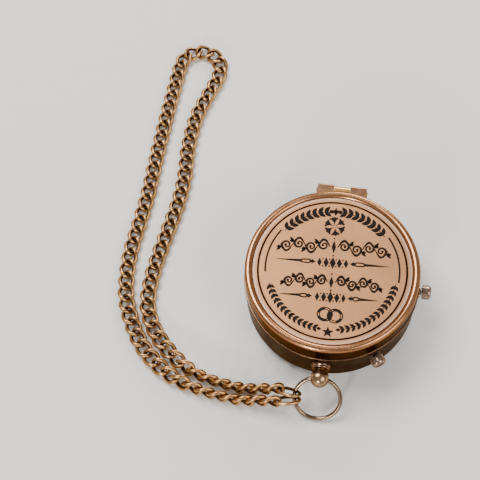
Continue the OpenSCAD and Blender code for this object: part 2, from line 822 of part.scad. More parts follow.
module brake_lever() {
    inner_x = fork_in_dia / 2;
    color("lightsteelblue") rotate([0, 0, brake_angle]) translate([0, 0, lever_z]) difference() {
        union() {
            translate([0, lever_w / 2, 0]) rotate([90, 0, 0]) linear_extrude(lever_w) polygon([
                [inner_x + lever_t, -lever_t / 2], [lever_pivot_x, -lever_t / 2],
                [lever_tip_x - lever_flat, -lever_t / 2 - lever_tip_drop],
                [lever_tip_x, -lever_t / 2 - lever_tip_drop], [lever_tip_x, lever_t / 2 - lever_tip_drop],
                [lever_tip_x - lever_flat, lever_t / 2 - lever_tip_drop],
                [lever_pivot_x, lever_t / 2], [inner_x + lever_t, lever_t / 2]]);
            translate([0, 0, -lever_t / 2]) difference() {
                cylinder(d = fork_out_dia, h = lever_t);
                translate([0, 0, -over]) cylinder(d = fork_in_dia, h = lever_t + 2 * over);
            }
            for (side = [-1, 1])
                translate([0, side * prong_r, 0]) cylinder(d = prong_dia, h = prong_top - lever_z);
            translate([lever_pivot_x, 0, 0]) rotate([90, 0, 0])
                cylinder(d = lever_hub_dia, h = 2 * (ear_gap - side_gap), center = true);
        }
        translate([lever_pivot_x, 0, 0]) rotate([90, 0, 0])
            cylinder(d = lever_pin_dia + 2 * run_gap, h = 4 * ear_gap, center = true);
    }
}

// The bow's own frame: its pivot at the middle of the ball, drooping out from the stem
module in_bow_frame() {
    translate([0, -ball_y, stem_z]) rotate([bow_droop, 0, 0]) children();
}

module bow_ring() {
    color("darkkhaki") in_bow_frame() translate([0, -bow_r, 0]) rotate_extrude()
        translate([bow_r, 0]) circle(d = bow_wire, $fn = 48);
}

// A point on the bow's wire, turned by an angle from its left side
function bow_point(turn) = let (p = [-bow_r * cos(turn), -bow_r + bow_r * sin(turn), 0])
    [p[0], -ball_y + p[1] * cos(bow_droop), stem_z + p[1] * sin(bow_droop)];

// The chain's route: a smooth curve through its points, measured along its length
route_last = len(route_shares) - 1;
route_ends = [[-bow_r - start_out, start_side - ball_y - bow_r * cos(bow_droop)],
              [-bow_r - finish_out, finish_side - ball_y - bow_r * cos(bow_droop)]];
route_points = [for (i = [0 : route_last]) let (run = i < route_last / 2 ? 0 : 1)
    route_ends[run] + (route_shares[i] - route_shares[run * route_last]) * chain_reach];

function route_at(i) = i < 0 ? 2 * route_points[0] - route_points[1]
    : i > route_last ? 2 * route_points[route_last] - route_points[route_last - 1]
    : route_points[i];

function curve(p, q, r, s, t) = 0.5 * (2 * q + (r - p) * t + (2 * p - 5 * q + 4 * r - s) * t * t
    + (3 * q - p - 3 * r + s) * t * t * t);

route_fine = concat(
    [for (i = [0 : route_last - 1]) for (k = [0 : route_steps - 1])
        curve(route_at(i - 1), route_at(i), route_at(i + 1), route_at(i + 2), k / route_steps)],
    [route_points[route_last]]);
route_sums = [for (i = 0, s = 0; i < len(route_fine);
    i = i + 1, s = i < len(route_fine) ? s + norm(route_fine[i] - route_fine[i - 1]) : s) s];
route_len = route_sums[len(route_sums) - 1];
route_x = [for (i = [0 : len(route_fine) - 1]) [route_sums[i], route_fine[i][0]]];
route_y = [for (i = [0 : len(route_fine) - 1]) [route_sums[i], route_fine[i][1]]];

function smooth(from, to, s) = let (t = min(1, max(0, (s - from) / (to - from)))) t * t * (3 - 2 * t);

// Distance to the nearer end of the chain
function from_end(s) = min(s, route_len - s);

// The chain leaves the bow on edge and turns over as it comes to lie flat, one way round all along
edge_roll = 90;
end_roll = edge_roll + swing_middle - bow_droop;

function roll_at(s) = let (flat = smooth(twist_shares[0], twist_shares[1], from_end(s) / chain_reach))
    s < route_len / 2 ? edge_roll + (180 - edge_roll) * flat : 180 + (180 - edge_roll) * (1 - flat);

// How far a link's wire reaches under its middle when it is rolled by an angle
function half_height(rho) = link_wire / 2
    + max([for (t = [0 : 10 : 350]) link_b * sin(t) * sin(rho) + link_twist * sin(2 * t) * cos(rho)]);

function height_at(s) = half_height(roll_at(s))
    + chain_end_lift * (1 - smooth(0, climb_share * chain_reach, from_end(s)));

function place_at(s) = [lookup(s, route_x), lookup(s, route_y), height_at(s)];

// The links sit at even steps, each end one held back to catch its end link
end_catch = link_a - link_wire / 2 - end_wire / 2 - end_gap;
link_count = round((route_len - 2 * end_catch) / link_pitch) + 1;
link_step = (route_len - 2 * end_catch) / (link_count - 1);
outer_count = ceil(link_count / 2);

function frame_on(at, along, rho) =
    let (across = unit(cross([0, 0, 1], along)), up = cross(along, across))
    [at, along, across * cos(rho) + up * sin(rho), up * cos(rho) - across * sin(rho)];

// A link that would reach under the ground is lifted until it lies on it
function lifted(f) = let (low = min([for (t = [0 : 10 : 350])
    in_frame(f, [link_a * cos(t), link_b * sin(t), link_twist * sin(2 * t)])[2]]) - link_wire / 2)
    low < 0 ? [f[0] - [0, 0, low], f[1], f[2], f[3]] : f;

function link_frame(i) = let (s = end_catch + i * link_step, half = link_step / 2)
    lifted(frame_on(place_at(s), unit(place_at(s + half) - place_at(s - half)), roll_at(s)));

function in_frame(f, p) = f[0] + p[0] * f[1] + p[1] * f[2] + p[2] * f[3];

// Rings of one link of half length a and half width b in its own frame, its corners lifted by the twist
function link_points(f, a, b, wire, twist) = [for (i = [0 : link_rings - 1])
    let (t = 360 * i / link_rings, c = [a * cos(t), b * sin(t), twist * sin(2 * t)],
         d = unit([-a * sin(t), b * cos(t), 2 * twist * cos(2 * t)]),
         out = [a * cos(t), b * sin(t), 0], n = unit(out - d * (out * d)), m = cross(d, n))
        for (p = ring_points(c, n, m, wire / 2, link_sides)) in_frame(f, p)];

module chain_links(first, last) {
    per_link = link_rings * link_sides;
    color("darkgoldenrod") polyhedron(
        [for (i = [first : last])
            for (p = link_points(link_frame(i), link_a, link_b, link_wire, link_twist)) p],
        [for (i = [first : last])
            for (f = tube_faces(link_rings, link_sides, true, (i - first) * per_link)) f]);
}

module chain_outer_run() {
    chain_links(0, outer_count - 1);
}

module chain_inner_run() {
    chain_links(outer_count, link_count - 1);
}

// A plain link from the bow's wire to the chain, square to the wire in the middle of the bow's swing
function end_link_frame(from, to, rho) =
    let (along = unit(to - from), hook = bow_wire / 2 + end_wire / 2 + end_gap)
    frame_on(from + along * (norm(to - from) - hook) / 2, along, rho);

function end_link_a(from, to) = (norm(to - from) + bow_wire / 2 + end_wire / 2 + end_gap) / 2;

module end_link(turn, to) {
    from = bow_point(turn);
    f = end_link_frame(from, to, end_roll);
    polyhedron(link_points(f, end_link_a(from, to), end_link_b, end_wire, 0),
               tube_faces(link_rings, link_sides, true));
}

module chain_end_links() {
    color("khaki") {
        end_link(-end_spread - end_drop, place_at(0));
        end_link(end_spread - end_drop, place_at(route_len));
    }
}

case_body();
neck_ring();
hinge_leaf_case();
stem_collar();
stem_knob();
stem_nut();
release_bush();
brake_bush();
dial_plate();
dial_card();
chapter_ring();
spacer_ring();
glass_gasket();
glass();
bezel_ring();
pivot_post();
pivot_point();
catch_spring();
catch_block();
catch_rivets();
release_spring();
brake_spring();
lever_bracket();
bracket_screws();
lever_pin();
lid_rim();
lid_plate();
hinge_leaf_lid();
hinge_pin();
needle_blade();
needle_cap();
needle_jewel();
release_button();
release_clip();
brake_button();
brake_clip();
brake_lever();
bow_ring();
chain_end_links();
chain_outer_run();
chain_inner_run();
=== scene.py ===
import json
import math
import bpy
from mathutils import Matrix, Vector


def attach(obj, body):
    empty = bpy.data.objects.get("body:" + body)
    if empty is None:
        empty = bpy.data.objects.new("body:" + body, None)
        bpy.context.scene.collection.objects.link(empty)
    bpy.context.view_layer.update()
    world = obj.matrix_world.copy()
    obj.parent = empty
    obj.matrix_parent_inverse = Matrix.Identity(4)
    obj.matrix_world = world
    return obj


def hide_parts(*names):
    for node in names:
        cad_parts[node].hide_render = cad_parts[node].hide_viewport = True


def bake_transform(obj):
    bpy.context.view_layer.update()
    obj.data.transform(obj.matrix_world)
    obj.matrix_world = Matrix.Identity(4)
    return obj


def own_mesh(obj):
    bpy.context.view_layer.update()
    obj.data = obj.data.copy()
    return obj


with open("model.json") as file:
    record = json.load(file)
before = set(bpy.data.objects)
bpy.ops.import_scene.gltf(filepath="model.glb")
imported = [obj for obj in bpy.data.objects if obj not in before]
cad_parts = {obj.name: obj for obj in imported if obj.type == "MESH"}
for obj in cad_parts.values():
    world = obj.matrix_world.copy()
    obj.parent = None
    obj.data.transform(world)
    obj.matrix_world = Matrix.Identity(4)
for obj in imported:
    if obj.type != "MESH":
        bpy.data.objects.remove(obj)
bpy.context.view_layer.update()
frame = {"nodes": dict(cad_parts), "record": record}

scene = bpy.context.scene
bodies = frame["record"]["behaviour"]["bodies"]
body_of = {node: body for body, nodes in bodies.items() for node in nodes}

MM = 0.001
SAME_SPOT = 1e-7            # points nearer than this are one point, in metres
SAME_CAD_SPOT = 2e-6
LARGE_STEPS = 160           # steps round a turned piece, by its size
MIDDLE_STEPS = 72
SMALL_STEPS = 64
DRILL_STEPS = 48

# Sizes shared with the part's source, in millimetres
CASE_R = 28.5
CASE_WALL = 1.0
CORNER_R = 4.2              # the case's rounded foot
PARTING = 17.5              # where the lid meets the case
LID_TOP = 25.0
LIP_R = 28.85
LIP_Z = PARTING - 1.1       # the rolled lip's lower edge
PLATE_R = 25.86
PLATE_TOP = 24.3
PLATE_T = 0.9
PLATE_EDGE = 0.1            # the broken edge round the plate
RING_R = 24.1               # the cut ring round the plate, its depth, and half its width above and below
RING_DEEP = 0.1
RING_WIDE = 0.34
RING_FLOOR = 0.25
CUT_TURN = 2.5              # the engraving sits this many degrees round
CARD_TOP = 17.9
STEM_Z = 12.3
BALL_Y = 33.2
BOW_R = 7.5
BOW_WIRE = 1.36
BOW_LIFT = 0.65             # the bow's low side clears the table by this much
BOW_DROOP = math.asin((STEM_Z - BOW_WIRE / 2 - BOW_LIFT) / (2 * BOW_R))
BUTTON_Z = 14.25
CAP_BASE = 30.05
CAP_H = 2.8
CAP_R = 4.7 / 2
CAP_POCKET = 0.7            # the cap is hollow below, where the bush goes in
POCKET_R = 1.45
BUTTON_STEM_R = 0.9
BUSH_R = 1.7
SHANK_R = 1.2
FIT = 0.04
BRAKE = 0.0                 # where the buttons and the stem stand round the case
RELEASE = math.radians(-55)
STEM = math.radians(-90)


# ---------------------------------------------------------------- selection and edit mode


def clear():
    bpy.ops.object.select_all(action="DESELECT")


def only(obj):
    clear()
    obj.select_set(True)
    bpy.context.view_layer.objects.active = obj


def named(name):
    obj = bpy.context.object
    obj.name = name
    obj.data.name = name
    return obj


def settle(obj):
    only(obj)
    bpy.ops.object.transform_apply(location=True, rotation=True, scale=True)
    return obj


def placed(obj, matrix):
    obj.matrix_world = matrix
    return settle(obj)


def smooth(obj, angle=32):
    only(obj)
    bpy.ops.object.shade_smooth_by_angle(angle=math.radians(angle))
    return obj


def edit(obj):
    only(obj)
    bpy.ops.object.mode_set(mode="EDIT")
    bpy.ops.mesh.select_mode(type="VERT")
    bpy.ops.mesh.select_all(action="SELECT")


def done():
    bpy.ops.object.mode_set(mode="OBJECT")


def tidy_mesh(obj):
    edit(obj)
    bpy.ops.mesh.remove_doubles(threshold=SAME_SPOT)
    bpy.ops.mesh.normals_make_consistent(inside=False)
    done()
    return obj


def to_mesh(obj):
    only(obj)
    bpy.ops.object.convert(target="MESH")
    return bpy.context.object


def join(objs, name):
    clear()
    for obj in objs:
        obj.select_set(True)
    bpy.context.view_layer.objects.active = objs[0]
    bpy.ops.object.join()
    return named(name)


def dress(obj, body, material, replaces=()):
    """Gives a piece its material and body, and hides the CAD nodes it stands for."""
    obj.data.materials.clear()
    obj.data.materials.append(material)
    if body:
        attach(obj, body)
    if replaces:
        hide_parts(*replaces)
    return obj


# ---------------------------------------------------------------- ways of making a shape


def turned(name, profile, steps, close=False):
    """A shape turned on a lathe about Z: the profile is drawn on from a single point, then spun."""
    bpy.ops.mesh.primitive_plane_add(size=MM, location=(0, 0, 0))
    obj = named(name)
    edit(obj)
    bpy.ops.mesh.merge(type="CENTER")
    path = [Vector((r * MM, 0, z * MM)) for r, z in profile + (profile[:1] if close else [])]
    bpy.ops.transform.translate(value=path[0])
    for here, there in zip(path, path[1:]):
        bpy.ops.mesh.extrude_region_move(TRANSFORM_OT_translate={"value": there - here})
    bpy.ops.mesh.select_all(action="SELECT")
    bpy.ops.mesh.remove_doubles(threshold=SAME_SPOT)
    bpy.ops.mesh.spin(steps=steps, angle=2 * math.pi, center=(0, 0, 0), axis=(0, 0, 1))
    done()
    return tidy_mesh(obj)


def polar(r, degrees):
    a = math.radians(degrees)
    return r * math.cos(a), r * math.sin(a)


def arc(cx, cy, r, start, end, steps):
    """Points round part of a circle, in degrees."""
    turns = [polar(r, start + (end - start) * k / steps) for k in range(steps + 1)]
    return [(cx + x, cy + y) for x, y in turns]


def out_from(angle, r, z):
    """A frame whose Z points out from the compass at an angle, at a radius and a height."""
    turn = Matrix.Rotation(angle, 4, "Z") @ Matrix.Rotation(math.pi / 2, 4, "Y")
    spot = Vector((r * math.cos(angle), r * math.sin(angle), z)) * MM
    return Matrix.Translation(spot) @ turn


def bored(obj, holes):
    """Round holes through the case's wall, each at an angle, a height and a radius."""
    for angle, z, r in holes:
        bpy.ops.mesh.primitive_cylinder_add(vertices=DRILL_STEPS, radius=r * MM, depth=4 * CASE_WALL * MM)
        drill = placed(named("drill"), out_from(angle, CASE_R, z))
        bore = obj.modifiers.new("bore", "BOOLEAN")
        bore.operation = "DIFFERENCE"
        bore.solver = "EXACT"
        bore.object = drill
        only(obj)
        bpy.ops.object.modifier_apply(modifier="bore")
        bpy.data.objects.remove(drill)
    return tidy_mesh(obj)


def wire(name, points, widths):
    """A round wire through points in millimetres, with its width at each in millimetres too."""
    bpy.ops.curve.primitive_bezier_curve_add()
    obj = named(name)
    data = obj.data
    data.splines.clear()
    data.dimensions = "3D"
    spline = data.splines.new("POLY")
    spline.points.add(len(points) - 1)
    for p, (point, width) in enumerate(zip(points, widths)):
        spline.points[p].co = (point[0] * MM, point[1] * MM, point[2] * MM, 1)
        spline.points[p].radius = width
    data.bevel_depth = 0.5 * MM
    data.bevel_resolution = 2
    data.use_fill_caps = True
    return to_mesh(obj)


def pressed_lines(name, lines, z, flat):
    """Pen lines, each with its widths, pressed flat onto a surface."""
    pens = []
    for k, (line, widths) in enumerate(lines):
        pen = wire("%s_%d" % (name, k), [(x, y, 0) for x, y in line], widths)
        pen.scale = (1, 1, flat)
        pen.location = (0, 0, z * MM)
        pens.append(settle(pen))
    return pens


def flat_shapes(name, outlines, z, thick):
    """Flat filled shapes, cut from outlines in millimetres."""
    bpy.ops.curve.primitive_bezier_circle_add()
    obj = named(name)
    data = obj.data
    data.splines.clear()
    data.dimensions = "2D"
    data.fill_mode = "BOTH"
    data.extrude = thick * MM / 2
    for outline in outlines:
        spline = data.splines.new("POLY")
        spline.points.add(len(outline) - 1)
        for p, (x, y) in enumerate(outline):
            spline.points[p].co = (x * MM, y * MM, 0, 1)
        spline.use_cyclic_u = True
    obj = to_mesh(obj)
    obj.location = (0, 0, z * MM)
    return settle(obj)


def finer(node):
    """A copy of a CAD piece with its facets joined and shaded smooth."""
    source = frame["nodes"][node]
    obj = source.copy()
    obj.data = source.data.copy()
    scene.collection.objects.link(obj)
    obj.parent = None
    obj.matrix_world = Matrix.Identity(4)
    obj.name = node + "_smooth"
    obj.data.name = obj.name
    only(obj)
    if obj.data.has_custom_normals:
        bpy.ops.mesh.customdata_custom_splitnormals_clear()
    edit(obj)
    bpy.ops.mesh.remove_doubles(threshold=SAME_CAD_SPOT)
    done()
    return smooth(obj, angle=30)


# ---------------------------------------------------------------- camera and light

# The camera was fitted to the photo: where it is, its own axes, and how long its lens is in pixels
CAMERA_AT = Vector((0.005197, -0.142164, 0.352384))
RIGHT = Vector((0.988305, 0.14619, -0.043368))
UP = Vector((-0.114665, 0.899962, 0.420618))
BACK = Vector((0.10052, -0.410727, 0.906201))
LENS_PIXELS = 1100
PICTURE_PIXELS = 480
SENSOR = 36

camera_data = bpy.data.cameras.new("camera")
camera_data.sensor_width = SENSOR
camera_data.lens = SENSOR * LENS_PIXELS / PICTURE_PIXELS
camera_data.clip_start = 0.01
camera_data.clip_end = 20
camera = bpy.data.objects.new("camera", camera_data)
scene.collection.objects.link(camera)
axes = Matrix((RIGHT, UP, BACK)).transposed().to_4x4()
camera.matrix_world = Matrix.Translation(CAMERA_AT) @ axes
scene.camera = camera


def lamp(name, place, aim, size, power, colour=(1, 1, 1)):
    data = bpy.data.lights.new(name, "AREA")
    data.shape = "DISK"
    data.size = size
    data.energy = power
    data.color = colour
    obj = bpy.data.objects.new(name, data)
    scene.collection.objects.link(obj)
    obj.location = place
    obj.rotation_euler = (Vector(aim) - Vector(place)).to_track_quat("-Z", "Y").to_euler()


lamp("soft_key", place=(-0.35, 0.25, 0.75), aim=(0, 0, 0), size=0.5, power=8, colour=(1, 0.97, 0.93))
lamp("soft_fill", place=(0.6, -0.35, 0.6), aim=(0, 0, 0), size=0.6, power=4, colour=(1, 0.98, 0.95))
lamp("soft_back", place=(0.1, 0.8, 0.35), aim=(0, 0, 0.01), size=0.4, power=4)
lamp("soft_front", place=(-0.16, -0.72, 0.3), aim=(0, 0, 0.01), size=0.12, power=3.2, colour=(1, 0.96, 0.9))
world = bpy.data.worlds.new("studio")
scene.world = world
world.use_nodes = True
sky = world.node_tree.nodes["Background"]
sky.inputs["Color"].default_value = (1, 0.97, 0.93, 1)
sky.inputs["Strength"].default_value = 0.42


# ---------------------------------------------------------------- shader maths


class Val:
    """A socket that can be used in a Python expression."""

    def __init__(self, tree, socket):
        self.tree = tree
        self.socket = socket

    def maths(self, kind, *terms):
        node = self.tree.nodes.new("ShaderNodeMath")
        node.operation = kind
        for slot, value in zip(node.inputs, terms):
            if isinstance(value, Val):
                self.tree.links.new(value.socket, slot)
            else:
                slot.default_value = value
        return Val(self.tree, node.outputs[0])

    def __add__(self, other):
        return self.maths("ADD", self, other)

    __radd__ = __add__

    def __sub__(self, other):
        return self.maths("SUBTRACT", self, other)

    def __rsub__(self, other):
        return self.maths("SUBTRACT", other, self)

    def __mul__(self, other):
        return self.maths("MULTIPLY", self, other)

    def __pow__(self, other):
        return self.maths("POWER", self, other)

    def over(self, low, high):
        """0 below low, 1 above high, smooth between."""
        node = self.tree.nodes.new("ShaderNodeMapRange")
        node.interpolation_type = "SMOOTHSTEP"
        self.tree.links.new(self.socket, node.inputs["Value"])
        node.inputs["From Min"].default_value = low
        node.inputs["From Max"].default_value = high
        return Val(self.tree, node.outputs["Result"])


class Finish:
    """A material that is written down node by node."""

    def __init__(self, name, metallic=1.0, edge=None):
        self.material = bpy.data.materials.new(name)
        self.material.use_nodes = True
        self.tree = self.material.node_tree
        self.shader = self.tree.nodes["Principled BSDF"]
        self.shader.inputs["Metallic"].default_value = metallic
        if edge:
            self.shader.inputs["Specular Tint"].default_value = (*edge, 1)
        coordinates = self.tree.nodes.new("ShaderNodeTexCoord")
        self.spot = Val(self.tree, coordinates.outputs["Object"])

    def node(self, kind, settings=None, **values):
        node = self.tree.nodes.new(kind)
        for key, value in (settings or {}).items():
            setattr(node, key, value)
        for key, value in values.items():
            slot = node.inputs[key.replace("_", " ")]
            if isinstance(value, Val):
                self.tree.links.new(value.socket, slot)
            else:
                slot.default_value = value
        return node

    def read(self, node, output=0):
        return Val(self.tree, node.outputs[output])

    def stretched(self, scale, turn=(0, 0, 0)):
        return self.read(self.node("ShaderNodeMapping", Vector=self.spot, Scale=scale, Rotation=turn))

    def noise(self, scale, detail=4.0, rough=0.55, at=None, twist=0.0):
        return self.read(self.node("ShaderNodeTexNoise", Vector=at or self.spot, Scale=scale, Detail=detail,
                                   Roughness=rough, Distortion=twist))

    def apart(self):
        """The piece's own x, y and z, in millimetres."""
        node = self.node("ShaderNodeSeparateXYZ", Vector=self.spot)
        return [self.read(node, k) * 1000 for k in range(3)]

    def around(self):
        """How far out from the compass's axis a spot lies, and how high, in millimetres."""
        x, y, z = self.apart()
        return (x * x + y * y) ** 0.5, z

    def mix(self, mask, low, high):
        """A colour that goes from low to high as the mask goes from 0 to 1."""
        node = self.tree.nodes.new("ShaderNodeMix")
        node.data_type = "RGBA"
        node.clamp_factor = True
        self.tree.links.new(mask.socket, node.inputs[0])
        for slot, value in ((node.inputs[6], low), (node.inputs[7], high)):
            if isinstance(value, Val):
                self.tree.links.new(value.socket, slot)
            else:
                slot.default_value = (*value, 1)
        return Val(self.tree, node.outputs[2])

    def base(self, value):
        self.tree.links.new(value.socket, self.shader.inputs["Base Color"])

    def rough(self, value):
        if isinstance(value, Val):
            self.tree.links.new(value.socket, self.shader.inputs["Roughness"])
        else:
            self.shader.inputs["Roughness"].default_value = value

    def bump(self, height, strength, distance=0.00002):
        node = self.node("ShaderNodeBump", Strength=strength, Distance=distance, Height=height)
        self.tree.links.new(node.outputs[0], self.shader.inputs["Normal"])


# ---------------------------------------------------------------- finishes


def old_metal(name, bright, stained, edge=(0.9, 0.72, 0.58), rough=(0.22, 0.42), cloud=160, stain=(0.45, 0.75),
              grain=(1, 1, 1), scratch=0.35, bump=0.15, wear_and_shade=None):
    """Brass that has gone dark in patches, with fine scratches and a soft sheen."""
    made = Finish(name, edge=edge)
    patches = made.noise(cloud, 6, 0.62, twist=0.6)
    specks = made.noise(2600, 3, 0.6)
    lines = made.noise(700, 4, 0.7, at=made.stretched(grain))
    mask = (patches * 0.75 + specks * 0.25).over(*stain)
    colour = made.mix(mask, bright, stained)
    colour = made.mix(lines.over(0.45, 0.75) * scratch, colour, [c * 1.25 for c in bright])
    if wear_and_shade:
        colour = wear_and_shade(made, colour)
    made.base(colour)
    made.rough(mask * (rough[1] - rough[0]) + lines * 0.12 + (rough[0] - 0.05))
    made.bump(lines * 0.6 + specks * 0.4, bump)
    return made.material


def worn_lip(made, colour):
    """The rolled lip and the foot are rubbed brighter than the wall between them."""
    z = made.apart()[2]
    rub = z.over(LIP_Z - 0.1, LIP_Z + 0.25) * made.noise(300, 4).over(0.3, 0.6)
    foot = 1 - z.over(1.2, 3.6)
    return made.mix(foot * 0.45, made.mix(rub * 0.75, colour, (0.2, 0.1, 0.05)), (0.12, 0.06, 0.032))


def worn_bead(made, colour):
    """The bead is rubbed bright, the skirt under it has kept its dark stain, and shade is painted into the corner
    inside.
    """
    r, z = made.around()
    crown = z.over(LID_TOP - 0.8, LID_TOP - 0.1) * made.noise(200, 4).over(0.25, 0.7)
    colour = made.mix(crown * 0.5, colour, (0.56, 0.31, 0.17))
    skirt = (1 - z.over(LID_TOP - 1.8, LID_TOP - 0.5)) * r.over(CASE_R - 0.9, CASE_R - 0.6)
    colour = made.mix(skirt, colour, (0.054, 0.037, 0.03))
    # Painted shade in the corner where the bead's inner side meets the plate
    corner = (1 - r.over(PLATE_R + 0.04, PLATE_R + 0.44)) * z.over(PLATE_TOP - 1.3, PLATE_TOP - 0.7)
    return made.mix(corner * 0.35, colour, (0.26, 0.14, 0.08))


COPPER = old_metal("antique_copper", bright=(0.39, 0.172, 0.075), stained=(0.25, 0.104, 0.043),
                   edge=(0.54, 0.415, 0.34), rough=(0.22, 0.37), cloud=110, scratch=0.2, bump=0.05, wear_and_shade=worn_bead)
BRONZE = old_metal("dark_bronze", bright=(0.14, 0.09, 0.062), stained=(0.058, 0.038, 0.027),
                   edge=(0.37, 0.32, 0.27), rough=(0.26, 0.46), cloud=90, stain=(0.35, 0.7), wear_and_shade=worn_lip)
HINGE = old_metal("hinge_copper", bright=(0.38, 0.2, 0.115), stained=(0.2, 0.1, 0.055), cloud=220)
GOLD = old_metal("rubbed_gold_brass", bright=(0.68, 0.36, 0.11), stained=(0.42, 0.2, 0.055), cloud=260,
                 stain=(0.5, 0.8))
BALL = old_metal("stem_brass", bright=(0.4, 0.25, 0.14), stained=(0.17, 0.095, 0.05), edge=(0.5, 0.38, 0.3),
                 cloud=260)
COLLAR = old_metal("collar_bronze", bright=(0.25, 0.145, 0.09), stained=(0.12, 0.065, 0.04), edge=(0.4, 0.3, 0.25),
                   cloud=260)
BUTTON = old_metal("button_rose", bright=(0.34, 0.23, 0.17), stained=(0.15, 0.098, 0.072), edge=(0.44, 0.36, 0.31),
                   cloud=320, grain=(1, 1, 6))
BOW = old_metal("bow_antique_brass", bright=(0.24, 0.16, 0.105), stained=(0.1, 0.063, 0.04), edge=(0.4, 0.32, 0.26),
                rough=(0.18, 0.38), cloud=260)
BRASS = old_metal("inner_brass", bright=(0.62, 0.4, 0.15), stained=(0.42, 0.25, 0.09), rough=(0.25, 0.35),
                  cloud=120, bump=0.08)


def plate_finish():
    """Rose brass with a satin face: faint cross brushing, thumbed clouds, a rim painted paler as a highlight ring, and
    a black ring.
    """
    made = Finish("satin_rose_plate", edge=(0.8, 0.6, 0.45))
    clouds = made.noise(55, 5, 0.55, twist=0.4)
    brushed = made.noise(900, 3, 0.7, at=made.stretched((0.35, 7, 1)))
    fine = made.noise(5200, 2, 0.6)
    r, z = made.around()
    marks = made.noise(1500, 2, 0.8, at=made.stretched((1, 0.04, 1), (0, 0, 0.5))).over(0.72, 0.8)
    colour = made.mix(clouds.over(0.3, 0.7), (0.395, 0.195, 0.092), (0.465, 0.235, 0.113))
    colour = made.mix(brushed.over(0.4, 0.8) * 0.3, colour, (0.6, 0.36, 0.21))
    colour = made.mix(marks * 0.35, colour, (0.3, 0.15, 0.08))
    # Painted highlight: a paler ring along the plate's rim, next to the bead
    colour = made.mix(r.over(24.6, PLATE_R) * 0.8, colour, (0.56, 0.41, 0.32))
    groove = r.over(RING_R - RING_WIDE, RING_R - 0.26) * (1 - r.over(RING_R + 0.26, RING_R + RING_WIDE))
    colour = made.mix(groove * z.over(PLATE_TOP - 0.4, PLATE_TOP - 0.3), colour, (0.006, 0.004, 0.003))
    made.base(colour)
    made.rough(0.4 + clouds * 0.12 + brushed * 0.1)
    made.bump(brushed * 0.7 + fine * 0.3, 0.12)
    return made.material


def ink(name, dark, pale, rough):
    """Stoving black in a cut line, or printer's black, dusty in places."""
    made = Finish(name, metallic=0.0)
    made.shader.inputs["Specular IOR Level"].default_value = 0.15
    dust = made.noise(900, 4, 0.7)
    made.base(made.mix(dust.over(0.5, 0.8), dark, pale))
    made.rough(rough + dust * 0.2)
    made.bump(dust, 0.2)
    return made.material


def chain_finish():
    """Curb links: painted shade darkens the inner side of each wire, where the links meet, and real dark stains lie in
    patches.
    """
    made = Finish("chain_antique_brass", edge=(0.7, 0.5, 0.36))
    # The hollow attribute carries painted shade, strongest where a wire faces the inside of its link
    hollow = made.read(made.node("ShaderNodeAttribute", {"attribute_name": "hollow"}), 2)
    patches = made.noise(420, 5, 0.6, twist=0.4)
    fine = made.noise(3000, 3, 0.6)
    # Painted shade on the wires' inner sides, joined with real dark stain patches
    dark = (hollow * 0.95 + patches * 0.5 - 0.08).over(0.22, 0.8)
    colour = made.mix(patches.over(0.3, 0.7), (0.57, 0.32, 0.135), (0.36, 0.19, 0.075))
    made.base(made.mix(dark, colour, (0.05, 0.022, 0.01)))
    made.rough(0.25 + dark * 0.28 + fine * 0.1)
    made.bump(fine * 0.6 + patches * 0.4, 0.15, 0.00003)
    return made.material


def spring_steel():
    """Grey steel with drawn lines."""
    made = Finish("spring_steel")
    lines = made.noise(900, 3, 0.7, at=made.stretched((0.2, 5, 1)))
    made.base(made.mix(lines.over(0.3, 0.8), (0.3, 0.3, 0.31), (0.18, 0.18, 0.19)))
    made.rough(0.36 + lines * 0.15)
    made.bump(lines, 0.1)
    return made.material


def needle_finish():
    """The north half is heat blued, the south half is left white."""
    made = Finish("blued_and_white_steel")
    north = made.apart()[1].over(-0.05, 0.05)
    heat = made.noise(300, 3)
    blue = made.mix(heat.over(0.3, 0.7), (0.012, 0.02, 0.11), (0.03, 0.045, 0.2))
    made.base(made.mix(north, (0.72, 0.72, 0.7), blue))
    made.rough(0.28 + heat * 0.12)
    made.bump(heat, 0.05)
    return made.material


def card_finish():
    """Printed card, gone a little yellow towards its edge."""
    made = Finish("dial_card_ivory", metallic=0.0)
    r, z = made.around()
    fibre = made.noise(2200, 5, 0.7)
    age = made.noise(90, 4)
    colour = made.mix(age.over(0.3, 0.75), (0.84, 0.79, 0.66), (0.78, 0.71, 0.56))
    made.base(made.mix(r.over(15, 24) * 0.35, colour, (0.6, 0.48, 0.32)))
    made.rough(0.72 + fibre * 0.15)
    made.bump(fibre, 0.15)
    return made.material


def clear_glass():
    made = Finish("clear_glass", metallic=0.0)
    haze = made.noise(60, 3)
    made.base(made.mix(haze.over(0.3, 0.7), (0.5, 0.56, 0.55), (0.44, 0.5, 0.5)))
    made.rough(0.02 + haze * 0.02)
    made.shader.inputs["Alpha"].default_value = 0.08
    made.shader.inputs["IOR"].default_value = 1.5
    return made.material


def red_jewel():
    made = Finish("ruby_cup", metallic=0.0)
    tone = made.noise(900, 3)
    made.base(made.mix(tone.over(0.3, 0.7), (0.3, 0.01, 0.03), (0.5, 0.03, 0.06)))
    made.rough(0.08 + tone * 0.05)
    return made.material


def black_rubber():
    made = Finish("gasket_rubber", metallic=0.0)
    tone = made.noise(1200, 4)
    made.base(made.mix(tone.over(0.3, 0.7), (0.02, 0.02, 0.02), (0.05, 0.05, 0.05)))
    made.rough(0.6 + tone * 0.2)
    made.bump(tone, 0.2, 0.00003)
    return made.material


def pale_floor():
    made = Finish("pale_studio_paper", metallic=0.0)
    tone = made.noise(6, 3)
    made.base(made.mix(tone, (0.74, 0.73, 0.71), (0.77, 0.76, 0.74)))
    made.rough(0.75)
    return made.material


